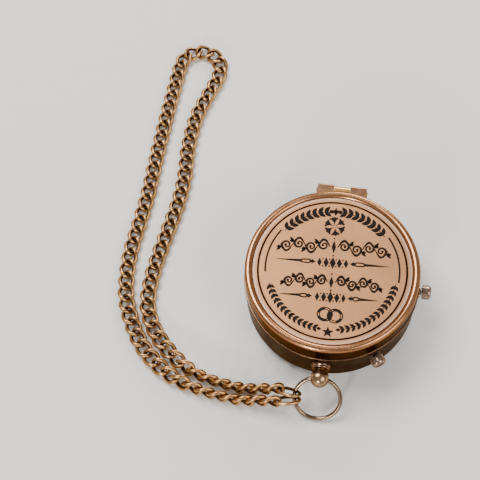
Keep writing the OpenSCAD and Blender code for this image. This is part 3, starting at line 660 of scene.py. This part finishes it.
PLATE = plate_finish()
CUT = ink("cut_black", dark=(0.006, 0.0035, 0.0025), pale=(0.02, 0.012, 0.008), rough=0.6)
PRINT = ink("print_black", dark=(0.006, 0.006, 0.008), pale=(0.012, 0.012, 0.014), rough=0.7)
CHAIN = chain_finish()
STEEL = spring_steel()
NEEDLE = needle_finish()
CARD = card_finish()
GLASS = clear_glass()
JEWEL = red_jewel()
RUBBER = black_rubber()

bpy.ops.mesh.primitive_plane_add(size=6, location=(0, 0, 0))
floor = named("floor")
floor.data.materials.append(pale_floor())

# ---------------------------------------------------------------- case

FOOT_R = 16                 # the case stands on a flat of this radius
CORNER_AT = CASE_R - CORNER_R
LIP_UNDER = 0.3             # the lip's two roundings
LIP_OVER = 0.25

wall = ([(0, 0), (FOOT_R, 0)] + arc(CORNER_AT, CORNER_R, CORNER_R, -90, 0, 14)
        + [(CASE_R, LIP_Z - 0.25), (CASE_R + 0.05, LIP_Z - 0.1)]
        + arc(LIP_R - LIP_UNDER, LIP_Z + 0.25, LIP_UNDER, -70, 0, 4)
        + arc(LIP_R - LIP_OVER, PARTING - 0.3, LIP_OVER, 0, 80, 4)
        + [(CASE_R - 0.9, PARTING), (CASE_R - CASE_WALL, PARTING - 0.1)]
        + arc(CORNER_AT, CORNER_R, CORNER_R - CASE_WALL, 0, -90, 10) + [(0, CASE_WALL)])
shell = turned("case_drawn_shell", wall, LARGE_STEPS)
case = bored(shell, [(STEM, STEM_Z, SHANK_R + FIT), (RELEASE, BUTTON_Z, BUSH_R + FIT), (BRAKE, BUTTON_Z, BUSH_R + FIT)])
dress(smooth(case), "case", BRONZE, ["case_body"])

# ---------------------------------------------------------------- pieces kept as the CAD has them, shaded smooth

COPY_FINISH = {
    "neck_ring": BRASS, "hinge_leaf_case": GOLD, "stem_nut": BRASS, "release_bush": BUTTON,
    "brake_bush": BUTTON, "dial_plate": BRASS, "dial_card": CARD, "chapter_ring": BRASS, "spacer_ring": BRASS,
    "glass_gasket": RUBBER, "glass": GLASS, "bezel_ring": BRASS, "pivot_post": BRASS, "pivot_point": STEEL,
    "catch_spring": STEEL, "catch_block": BRASS, "catch_rivets": BRASS, "release_spring": STEEL,
    "brake_spring": STEEL, "lever_bracket": BRASS, "bracket_screws": BRASS, "lever_pin": STEEL, "lid_rim": COPPER,
    "hinge_leaf_lid": HINGE, "hinge_pin": GOLD, "needle_blade": NEEDLE, "needle_cap": BRASS, "needle_jewel": JEWEL,
    "release_clip": STEEL, "brake_clip": STEEL, "brake_lever": STEEL, "stem_knob": BALL,
}
BLENDED = "catch_spring"    # held by two bodies, so it rides on neither
copies = {}
for node, material in COPY_FINISH.items():
    body = None if node == BLENDED else body_of[node]
    copies[node] = dress(finer(node), body, material, [node])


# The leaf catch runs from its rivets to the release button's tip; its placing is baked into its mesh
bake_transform(copies[BLENDED])

# Each button's coil spring stands on the case and gets a mesh of its own
for angle, node, joint in ((RELEASE, "release_spring", "release_push"), (BRAKE, "brake_spring", "brake_push")):
    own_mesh(copies[node])

# ---------------------------------------------------------------- lid plate

plate_line = [(0, PLATE_TOP), (RING_R - RING_WIDE, PLATE_TOP), (RING_R - RING_FLOOR, PLATE_TOP - RING_DEEP),
              (RING_R + RING_FLOOR, PLATE_TOP - RING_DEEP), (RING_R + RING_WIDE, PLATE_TOP),
              (PLATE_R - PLATE_EDGE, PLATE_TOP), (PLATE_R, PLATE_TOP - 0.08),
              (PLATE_R, PLATE_TOP - PLATE_T), (0, PLATE_TOP - PLATE_T)]
plate = smooth(turned("engraved_plate", plate_line, LARGE_STEPS))
dress(plate, "lid", PLATE, ["lid_plate"])

# ---------------------------------------------------------------- buttons and stem

GROOVED_R = CAP_R - 0.12    # the groove round the cap, and its rounded base
CAP_ROUND = 1.0
RELEASE_STEM = 3.95         # how far each stem reaches in from the cap's base
RELEASE_TIP_R = 0.8
BRAKE_STEM = 8.25
BRAKE_TIP_R = 0.4
BRAKE_TAPER = 1.5

cap_line = ([(BUTTON_STEM_R, CAP_POCKET), (POCKET_R, CAP_POCKET), (POCKET_R, 0), (GROOVED_R, 0), (CAP_R, 0.12),
             (CAP_R, 0.5), (GROOVED_R, 0.58), (GROOVED_R, 0.72), (CAP_R, 0.8)]
            + arc(CAP_R - CAP_ROUND, CAP_H - CAP_ROUND, CAP_ROUND, 0, 80, 8) + [(0, CAP_H)])
release_foot = [(0, -RELEASE_STEM), (RELEASE_TIP_R, -RELEASE_STEM), (BUTTON_STEM_R, 0.1 - RELEASE_STEM)]
brake_foot = [(0, -BRAKE_STEM), (BRAKE_TIP_R, -BRAKE_STEM), (BUTTON_STEM_R, BRAKE_TAPER - BRAKE_STEM)]
for angle, node, body, foot in ((RELEASE, "release_button", "release_knob", release_foot),
                                (BRAKE, "brake_button", "brake_knob", brake_foot)):
    button = smooth(turned(node + "_turned", foot + cap_line, SMALL_STEPS), angle=40)
    dress(placed(button, out_from(angle, CAP_BASE, BUTTON_Z)), body, BUTTON, [node])

# The collar, from its foot in the case's wall: a rounded flange, a small step and a rounded shoulder
COLLAR_BASE = 28.1
COLLAR_BORE = 1.25
COLLAR_H = 2.25
FLANGE_R = 3.3
FLANGE_H = 1.15
FLANGE_ROUND = 0.35
SHOULDER_R = 3.02
SHOULDER_ROUND = 0.4
collar_line = ([(COLLAR_BORE, 0), (FLANGE_R, 0), (FLANGE_R, FLANGE_H - 0.1)]
               + arc(FLANGE_R - FLANGE_ROUND, FLANGE_H, FLANGE_ROUND, 0, 60, 4)
               + [(3.0, 1.6), (SHOULDER_R, COLLAR_H - SHOULDER_ROUND)]
               + arc(SHOULDER_R - SHOULDER_ROUND, COLLAR_H - SHOULDER_ROUND, SHOULDER_ROUND, 0, 90, 5)
               + [(COLLAR_BORE, COLLAR_H)])
collar = smooth(turned("stem_collar_turned", collar_line, MIDDLE_STEPS, close=True), angle=40)
dress(placed(collar, out_from(STEM, COLLAR_BASE, STEM_Z)), "case", COLLAR, ["stem_collar"])

# ---------------------------------------------------------------- bow

bpy.ops.mesh.primitive_torus_add(major_radius=BOW_R * MM, minor_radius=BOW_WIRE * MM / 2, major_segments=120,
                                 minor_segments=20, location=(0, -BOW_R * MM, 0))
bow = settle(named("bow_wire"))
at_ball = Matrix.Translation(Vector((0, -BALL_Y, STEM_Z)) * MM)
placed(bow, at_ball @ Matrix.Rotation(BOW_DROOP, 4, "X"))
dress(smooth(bow, angle=60), "bow", BOW, ["bow_ring"])

# ---------------------------------------------------------------- chain

LINK_A = 3.15               # half length and half width of a curb link, to the middle of its wire
LINK_B = 2.275
LINK_WIRE = 1.4
LINK_PLUMP = 0.04           # the facets of the drawn wire lie inside it, so it is drawn this much thicker
LINK_RISE = 0.97            # how far the curb twist bends a link out of its plane
LINK_PITCH = 4.45
END_WIRE = 1.1
END_B = 2.9
END_GAP = 0.55
END_SPREAD = 9              # degrees round the bow between its side and each end link
END_DROP = 4
END_CATCH = LINK_A - LINK_WIRE / 2 - END_WIRE / 2 - END_GAP
END_ROLL = 98 - math.degrees(BOW_DROOP)
END_LIFT = 2.7
CLIMB = 14.0                # the chain rises to the bow over this length
EDGE_ROLL = 90              # links stand on edge at the bow and lie flat further on
TWIST = (0.24, 0.46)        # from where to where they turn, in reaches
REACH = 100
BOW_SIDE = Vector((-BOW_R, -BALL_Y - BOW_R * math.cos(BOW_DROOP), 0))
RUN_ENDS = (BOW_SIDE + Vector((-6.2, -2.485, 0)), BOW_SIDE + Vector((-5.7, 1.915, 0)))

# The chain's way along the table, in reaches: out from the bow, round the fold and back
ROUTE_SHARES = [Vector((x, y, 0)) for x, y in (
    (-0.137, -0.406), (-0.192, -0.408), (-0.252, -0.409), (-0.322, -0.403), (-0.394, -0.391),
    (-0.467, -0.368), (-0.537, -0.328), (-0.605, -0.266), (-0.656, -0.189), (-0.692, -0.107),
    (-0.708, -0.022), (-0.712, 0.078), (-0.702, 0.188), (-0.693, 0.297), (-0.69, 0.405),
    (-0.687, 0.514), (-0.683, 0.612), (-0.679, 0.699), (-0.673, 0.785), (-0.669, 0.859),
    (-0.655, 0.903), (-0.618, 0.931), (-0.572, 0.933), (-0.533, 0.909), (-0.515, 0.866),
    (-0.522, 0.81), (-0.548, 0.733), (-0.573, 0.635), (-0.58, 0.513), (-0.573, 0.405),
    (-0.577, 0.296), (-0.593, 0.187), (-0.611, 0.077), (-0.621, -0.027), (-0.614, -0.122),
    (-0.58, -0.195), (-0.527, -0.259), (-0.464, -0.31), (-0.397, -0.342), (-0.324, -0.359),
    (-0.252, -0.368), (-0.187, -0.368), (-0.132, -0.362)
)]
LAST = len(ROUTE_SHARES) - 1
ROUTE = [RUN_ENDS[k > LAST / 2] + (share - ROUTE_SHARES[LAST * (k > LAST / 2)]) * REACH
         for k, share in enumerate(ROUTE_SHARES)]


def curve_at(p, q, r, s, t):
    """A smooth curve through q and r, with p before them and s after."""
    return 0.5 * (2 * q + (r - p) * t + (2 * p - 5 * q + 4 * r - s) * t * t + (3 * q - p - 3 * r + s) * t ** 3)


def fine_route(steps=8):
    ends = [2 * ROUTE[0] - ROUTE[1]] + ROUTE + [2 * ROUTE[-1] - ROUTE[-2]]
    points = [curve_at(*ends[k:k + 4], t / steps) for k in range(len(ROUTE) - 1) for t in range(steps)]
    return points + [ROUTE[-1]]


fine = fine_route()
sums = [0.0]
for here, there in zip(fine, fine[1:]):
    sums.append(sums[-1] + (there - here).length)
ROUTE_LEN = sums[-1]


def on_route(s):
    """The spot at a length s along the route."""
    s = min(max(s, 0.0), ROUTE_LEN)
    k = 1
    while sums[k] < s and k < len(sums) - 1:
        k += 1
    share = (s - sums[k - 1]) / (sums[k] - sums[k - 1])
    return fine[k - 1].lerp(fine[k], share)


def ease(start, end, s):
    t = min(1.0, max(0.0, (s - start) / (end - start)))
    return t * t * (3 - 2 * t)


def roll_at(s):
    """How far a link is turned about the chain, in degrees."""
    flat = ease(TWIST[0], TWIST[1], min(s, ROUTE_LEN - s) / REACH)
    if s < ROUTE_LEN / 2:
        return EDGE_ROLL + (180 - EDGE_ROLL) * flat
    return 180 + (180 - EDGE_ROLL) * (1 - flat)


# Spots along the middle of a link's wire: along the link, across it and out of its plane
OVAL = [(LINK_A * math.cos(math.radians(t)), LINK_B * math.sin(math.radians(t)),
         -LINK_RISE * math.sin(math.radians(2 * t))) for t in range(0, 360, 10)]


def reach_down(roll):
    """How high the middle of a link lies when it rests on the table."""
    rho = math.radians(roll)
    return LINK_WIRE / 2 + max(y * math.sin(rho) + z * math.cos(rho) for x, y, z in OVAL)


def place_at(s):
    p = on_route(s).copy()
    p.z = reach_down(roll_at(s)) + END_LIFT * (1 - ease(0, CLIMB, min(s, ROUTE_LEN - s)))
    return p


def frame_on(at, along, roll):
    """A spot on the chain and a link's three directions there."""
    across = Vector((0, 0, 1)).cross(along).normalized()
    up = along.cross(across)
    c = math.cos(math.radians(roll))
    s = math.sin(math.radians(roll))
    return at, along, across * c + up * s, up * c - across * s


def link_matrix(link_at):
    at, x, y, z = link_at
    return Matrix.Translation(at * MM) @ Matrix((x, y, z)).transposed().to_4x4()


def lifted(link_at):
    """Raises a link that would sink into the table."""
    at, x, y, z = link_at
    low = min((at + u * x + v * y + w * z).z for u, v, w in OVAL) - LINK_WIRE / 2
    return at - Vector((0, 0, min(low, 0))), x, y, z


def bow_point(degrees):
    """A spot on the bow's wire, from its side nearest the chain."""
    a = math.radians(degrees)
    x = -BOW_R * math.cos(a)
    y = -BOW_R + BOW_R * math.sin(a)
    return Vector((x, -BALL_Y + y * math.cos(BOW_DROOP), STEM_Z + y * math.sin(BOW_DROOP)))


LINK_COUNT = round((ROUTE_LEN - 2 * END_CATCH) / LINK_PITCH) + 1
LINK_STEP = (ROUTE_LEN - 2 * END_CATCH) / (LINK_COUNT - 1)
OUTER = math.ceil(LINK_COUNT / 2)


def chain_link(name, a, b, thick, rise=0.0):
    """An oval of wire. A rise gives it the curb twist by which it lies flat against its neighbours."""
    bpy.ops.curve.primitive_bezier_circle_add(radius=MM)
    obj = named(name)
    bpy.ops.object.mode_set(mode="EDIT")
    bpy.ops.curve.select_all(action="SELECT")
    bpy.ops.transform.resize(value=(a, b, 1))
    done()
    obj.data.resolution_u = 7
    obj.data.bevel_depth = thick * MM / 2
    obj.data.bevel_resolution = 3
    obj.data.use_fill_caps = False
    obj = to_mesh(obj)
    # Painted shade: how far each point faces into the oval, kept in the hollow attribute
    inner_shade = obj.data.attributes.new("hollow", "FLOAT", "POINT")
    for v in obj.data.vertices:
        inward = -(v.normal.x * v.co.x / a ** 2 + v.normal.y * v.co.y / b ** 2)
        size = math.hypot(v.co.x / a ** 2, v.co.y / b ** 2)
        inner_shade.data[v.index].value = max(0.0, inward / size) if size > 0 else 0
    bend = obj.modifiers.new("twist", "SIMPLE_DEFORM")
    bend.deform_method = "TWIST"
    bend.deform_axis = "X"
    bend.angle = 2 * math.atan2(2 * rise, b) * (2 * a + thick) / (2 * a)
    only(obj)
    bpy.ops.object.modifier_apply(modifier="twist")
    corner = max(obj.data.vertices, key=lambda v: v.co.x * v.co.y)
    if corner.co.z > 0 and rise > 0:
        obj.data.transform(Matrix.Scale(-1, 4, (0, 0, 1)))
        tidy_mesh(obj)
    return smooth(obj, angle=60)


def link_at(i):
    """Where the middle of a link lies, and its three directions."""
    s = END_CATCH + i * LINK_STEP
    half = LINK_STEP / 2
    along = (place_at(s + half) - place_at(s - half)).normalized()
    return lifted(frame_on(place_at(s), along, roll_at(s)))


def run_of_links(name, pattern, numbers):
    """Links laid one after another along the route, in one piece."""
    run = []
    for i in numbers:
        obj = pattern.copy()
        obj.data = pattern.data.copy()
        scene.collection.objects.link(obj)
        obj.data.transform(link_matrix(link_at(i)))
        run.append(obj)
    return join(run, name)


pattern = chain_link("curb_link", LINK_A, LINK_B, LINK_WIRE + LINK_PLUMP, LINK_RISE)
for name, node, numbers in (("chain_outer_links", "chain_outer_run", range(OUTER)),
                            ("chain_inner_links", "chain_inner_run", range(OUTER, LINK_COUNT))):
    dress(run_of_links(name, pattern, numbers), "chain", CHAIN, [node])
bpy.data.objects.remove(pattern)

ends = []
hook = BOW_WIRE / 2 + END_WIRE / 2 + END_GAP
for degrees, to in ((-END_SPREAD - END_DROP, place_at(0)), (END_SPREAD - END_DROP, place_at(ROUTE_LEN))):
    start = bow_point(degrees)
    span = (to - start).length
    along = (to - start).normalized()
    link = chain_link("end_link", (span + hook) / 2, END_B, END_WIRE)
    link.data.transform(link_matrix(frame_on(start + along * (span - hook) / 2, along, END_ROLL)))
    ends.append(link)
dress(join(ends, "chain_end_pair"), "chain", CHAIN, ["chain_end_links"])

# ---------------------------------------------------------------- engraving on the lid

cuts = []                   # outlines of filled shapes
strokes = []                # pen lines, each with its widths


def turned_about(points, x, y, angle):
    c, s = polar(1, angle)
    return [(x + u * c - v * s, y + u * s + v * c) for u, v in points]


def both_sides(side, tip):
    """Along one side of an outline to its tip, and back along the mirrored side."""
    return side + [tip] + [(u, -v) for u, v in reversed(side)]


def leaf(x, y, angle, length, width, steps=7):
    """A pointed leaf from its foot at x, y."""
    side = [(length * k / steps, width / 2 * math.sin(math.pi * (k / steps) ** 0.8)) for k in range(steps + 1)]
    return turned_about(side[:1] + both_sides(side[1:-1], side[-1]), x, y, angle)


def dot(x, y, r):
    cuts.append(arc(x, y, r, 0, 330, 11))


def band(r, start, end, width):
    """An even line along part of a circle."""
    steps = max(8, int(abs(end - start) / 2))
    strokes.append((arc(0, 0, r, start, end, steps), [width] * (steps + 1)))


def laurel(r, start, end, count, length, width, lean):
    """Pairs of leaves along a stem that follows the lid's edge."""
    band(r, start, end, 0.34)
    way = 1 if end > start else -1
    for k in range(count):
        at = start + (end - start) * (k + 0.35) / count
        cuts.append(leaf(*polar(r, at), at + way * (90 - lean), length, width))
        cuts.append(leaf(*polar(r, at), at + way * (90 + lean), length, width))
    cuts.append(leaf(*polar(r, end), end + way * 90, length * 0.8, width))


def rosette(x, y):
    """Six bare petals in a dark ground with a toothed rim."""
    side = [(0.3, 0.04), (0.6, 0.11), (1.0, 0.13), (1.5, 0.28), (2.0, 0.6), (2.5, 1.02), (2.62, 1.5), (2.95, 1.35),
            (3.3, 1.28), (3.05, 0.78), (3.4, 0.62), (3.2, 0.3)]
    for k in range(6):
        cuts.append(turned_about(both_sides(side, (3.75, 0)), x, y, 60 * k + 38))


def spear(x, y, way, length):
    """A long tapered arrow with a hollow shaft that points to the middle of the lid."""
    tail = length * 0.62
    taper = both_sides([(0, 0.08), (tail, 0.5)], (tail + 0.4, 0))
    heel = [(tail - 0.4, 0.0)]
    hollow = heel + both_sides([(tail + 0.5, 0.5), (length - 2.2, 0.62)], (length - 1.7, 0.0)) + heel
    barb = [(length - 1.6, 1.05), (length - 1.2, 0.42), (length - 2.3, 0.75)]
    head = [(length, 0)] + both_sides(barb, (length - 1.8, 0))
    taper, hollow, head = ([(x + way * u, y + v) for u, v in points] for points in (taper, hollow, head))
    cuts.extend((taper, head))
    strokes.append((hollow, [0.56] * len(hollow)))


def lozenges(y, gap, tall):
    """A row of lozenges that grow towards the middle, with beads between them."""
    for k in range(-2, 3):
        high = tall * (1 - 0.13 * abs(k))
        wide = high * 0.49
        cuts.append([(k * gap - wide, y), (k * gap, y - high), (k * gap + wide, y), (k * gap, y + high)])
    for k in (-1.5, -0.5, 0.5, 1.5):
        for side in (-1, 1):
            dot(k * gap, y + side * 1.2, 0.3)


def scroll_row(y, wave, tall, count=4, start=1.3):
    """Running scrolls from the middle of the lid to both sides, drawn with a swelling pen."""
    times = [k / 16 for k in range(count * 16 + 1)]
    turns = [n / 30 for n in range(31)]
    for way in (-1, 1):
        stem = [(way * (start + wave * t), y + tall * math.sin(math.pi * t)) for t in times]
        widths = [(0.42 + 0.6 * abs(math.sin(math.pi * t)) ** 1.5) * (1 - 0.25 * t / count) for t in times]
        strokes.append((stem, widths))
        for k in range(count):
            up = 1 if k % 2 == 0 else -1
            curl = []
            for t in turns:
                u, v = polar(wave * 0.41 * (1 - t) ** 0.85 + 0.3 * t, 60 - 430 * t)
                curl.append((way * (start + wave * (k + 0.5) + u), y + up * (tall * 0.16 + v)))
            strokes.append((curl, [0.86 - 0.46 * t for t in turns]))
            dot(*curl[-1], 0.46)
            foot = (way * (start + wave * (k + 0.92)), y + up * tall * 0.4)
            for lean, long in ((48, 2.3), (12, 1.7)):
                angle = up * lean if way > 0 else 180 - up * lean
                cuts.append(leaf(*foot, angle, long * wave / 4.1, 1.0))
    cuts.append([(-0.75, y), (0, y - tall), (0.75, y), (0, y + tall)])
    for side in (-1, 1):
        dot(0, y + side * (tall + 0.65), 0.32)


def linked_ring(cx, cy, squash, dark):
    """A plain ring seen at a slant: two bold edges, with the shaded parts of its band filled."""
    edges = [(2.42, 0.42, 0, 360), (1.74, 0.34, 0, 360)]
    for r, width, start, end in edges + [(2.1, 0.66, a, b) for a, b in dark]:
        circle = [(cx + x, cy + squash * y) for x, y in (polar(r, a) for a in range(start, end + 1, 10))]
        strokes.append((circle, [width] * len(circle)))


# Round the edge: plain arcs at the sides, laurel above and below
band(r=21.7, start=-8, end=36, width=0.62)
band(r=21.7, start=144, end=187, width=0.62)
for start, end in ((142.5, 97), (38.5, 84)):
    laurel(r=20.75, start=start, end=end, count=8, length=2.85, width=1.45, lean=42)
for start, end, count in ((198, 260, 13), (350, 281, 14)):
    laurel(r=20.9, start=start, end=end, count=count, length=2.1, width=1.05, lean=40)
cuts.append([polar(r, a) for r, a in ((19.2, 90.5), (20.75, 93.0), (22.3, 90.5), (20.75, 88.0))])

# Down the middle, row by row
rosette(x=-0.2, y=15.4)
spear(x=-18.4, y=2.3, way=1, length=12.9)
spear(x=18.4, y=2.3, way=-1, length=12.9)
spear(x=-16.3, y=-9.8, way=1, length=10.5)
spear(x=15.4, y=-9.8, way=-1, length=9.9)
lozenges(y=2.2, gap=2.15, tall=2.15)
lozenges(y=-9.9, gap=2.1, tall=2.1)
scroll_row(y=7.9, wave=4.05, tall=2.45)
scroll_row(y=-4.6, wave=3.55, tall=2.2)
linked_ring(-1.3, -15.7, squash=0.95, dark=[(90, 170), (200, 290), (320, 390)])
linked_ring(1.95, -16.1, squash=0.97, dark=[(20, 110), (140, 230), (280, 340)])
for k in range(4):          # hatching where the rings cross
    strokes.append(([(0.3 * k - 0.15, -14.2 - 0.3 * k), (0.3 * k - 0.45, -16.8 - 0.25 * k)], [0.16, 0.16]))
STAR_Y = -21.7
cuts.append([(x, y + STAR_Y) for x, y in (polar(0.85 if k % 2 else 2.0, 90 + 36 * k) for k in range(10))])

inlay = [flat_shapes("engraved_shape_%d" % k, [outline], PLATE_TOP, 0.03) for k, outline in enumerate(cuts)]
inlay += pressed_lines("engraved_line", strokes, PLATE_TOP, 0.05)
engraving = placed(join(inlay, "lid_engraving"), Matrix.Rotation(math.radians(CUT_TURN), 4, "Z"))
dress(engraving, "lid", CUT)

# ---------------------------------------------------------------- dial print

SCALE_R = 21.8
FIGURE_R = 17.9
LETTER_R = 14.0
ROSE = ((10.4, 3.6), (7.4, 2.9))        # length and shoulder of the four long points and the four short ones


def tick(angle, r0, r1, width):
    """A stroke of the scale, outwards from r0 to r1."""
    c, s = polar(1, 90 - angle)
    u, v = width / 2 * s, width / 2 * c
    return [(r0 * c - u, r0 * s + v), (r1 * c - u, r1 * s + v), (r1 * c + u, r1 * s - v), (r0 * c + u, r0 * s - v)]


def rose_point(at, long, wide):
    """A point of the compass rose: one half filled, the other only outlined beside it."""
    tip = polar(long, at)
    left, right = polar(wide, at - 22.5), polar(wide, at + 22.5)
    halfway = ((left[0] + tip[0]) / 2, (left[1] + tip[1]) / 2)
    return [[polar(0.9, at), left, halfway, tip],
            [polar(long * 0.93, at + 0.3), polar(wide * 0.93, at + 18.5), right, polar(long * 0.99, at + 0.3)]]


def figure(text, degrees, r, size):
    bpy.ops.object.text_add(location=(0, 0, 0))
    obj = named("dial_figure")
    obj.data.body = text
    obj.data.size = size * MM
    obj.data.align_x = "CENTER"
    obj.data.align_y = "CENTER"
    obj.data.extrude = 0.01 * MM
    obj = to_mesh(obj)
    spot = Matrix.Translation(Vector((*polar(r, 90 - degrees), CARD_TOP)) * MM)
    return placed(obj, spot @ Matrix.Rotation(math.radians(-degrees), 4, "Z"))


marks = []
for degrees in range(0, 360, 2):
    long = 2.0 if degrees % 30 == 0 else 1.5 if degrees % 10 == 0 else 0.9
    marks.append(tick(degrees, SCALE_R - long, SCALE_R, 0.34 if degrees % 10 == 0 else 0.18))
for k in range(8):
    marks += rose_point(90 - 45 * k, *ROSE[k % 2])
circles = [(arc(0, 0, r, 0, 360, 120), [width] * 121) for r, width in ((21.9, 0.3), (15.9, 0.2), (12.2, 0.2))]
printed = [flat_shapes("dial_marks", marks, CARD_TOP, 0.02)] + pressed_lines("dial_line", circles, CARD_TOP, 0.03)
for degrees in range(0, 360, 30):
    printed.append(figure(str(degrees), degrees, FIGURE_R, 2.1))
for size, names in ((3.0, (("N", 0), ("E", 90), ("S", 180), ("W", 270))),
                    (1.7, (("NE", 45), ("SE", 135), ("SW", 225), ("NW", 315)))):
    for text, degrees in names:
        printed.append(figure(text, degrees, LETTER_R, size))
dress(join(printed, "dial_print"), "case", PRINT)
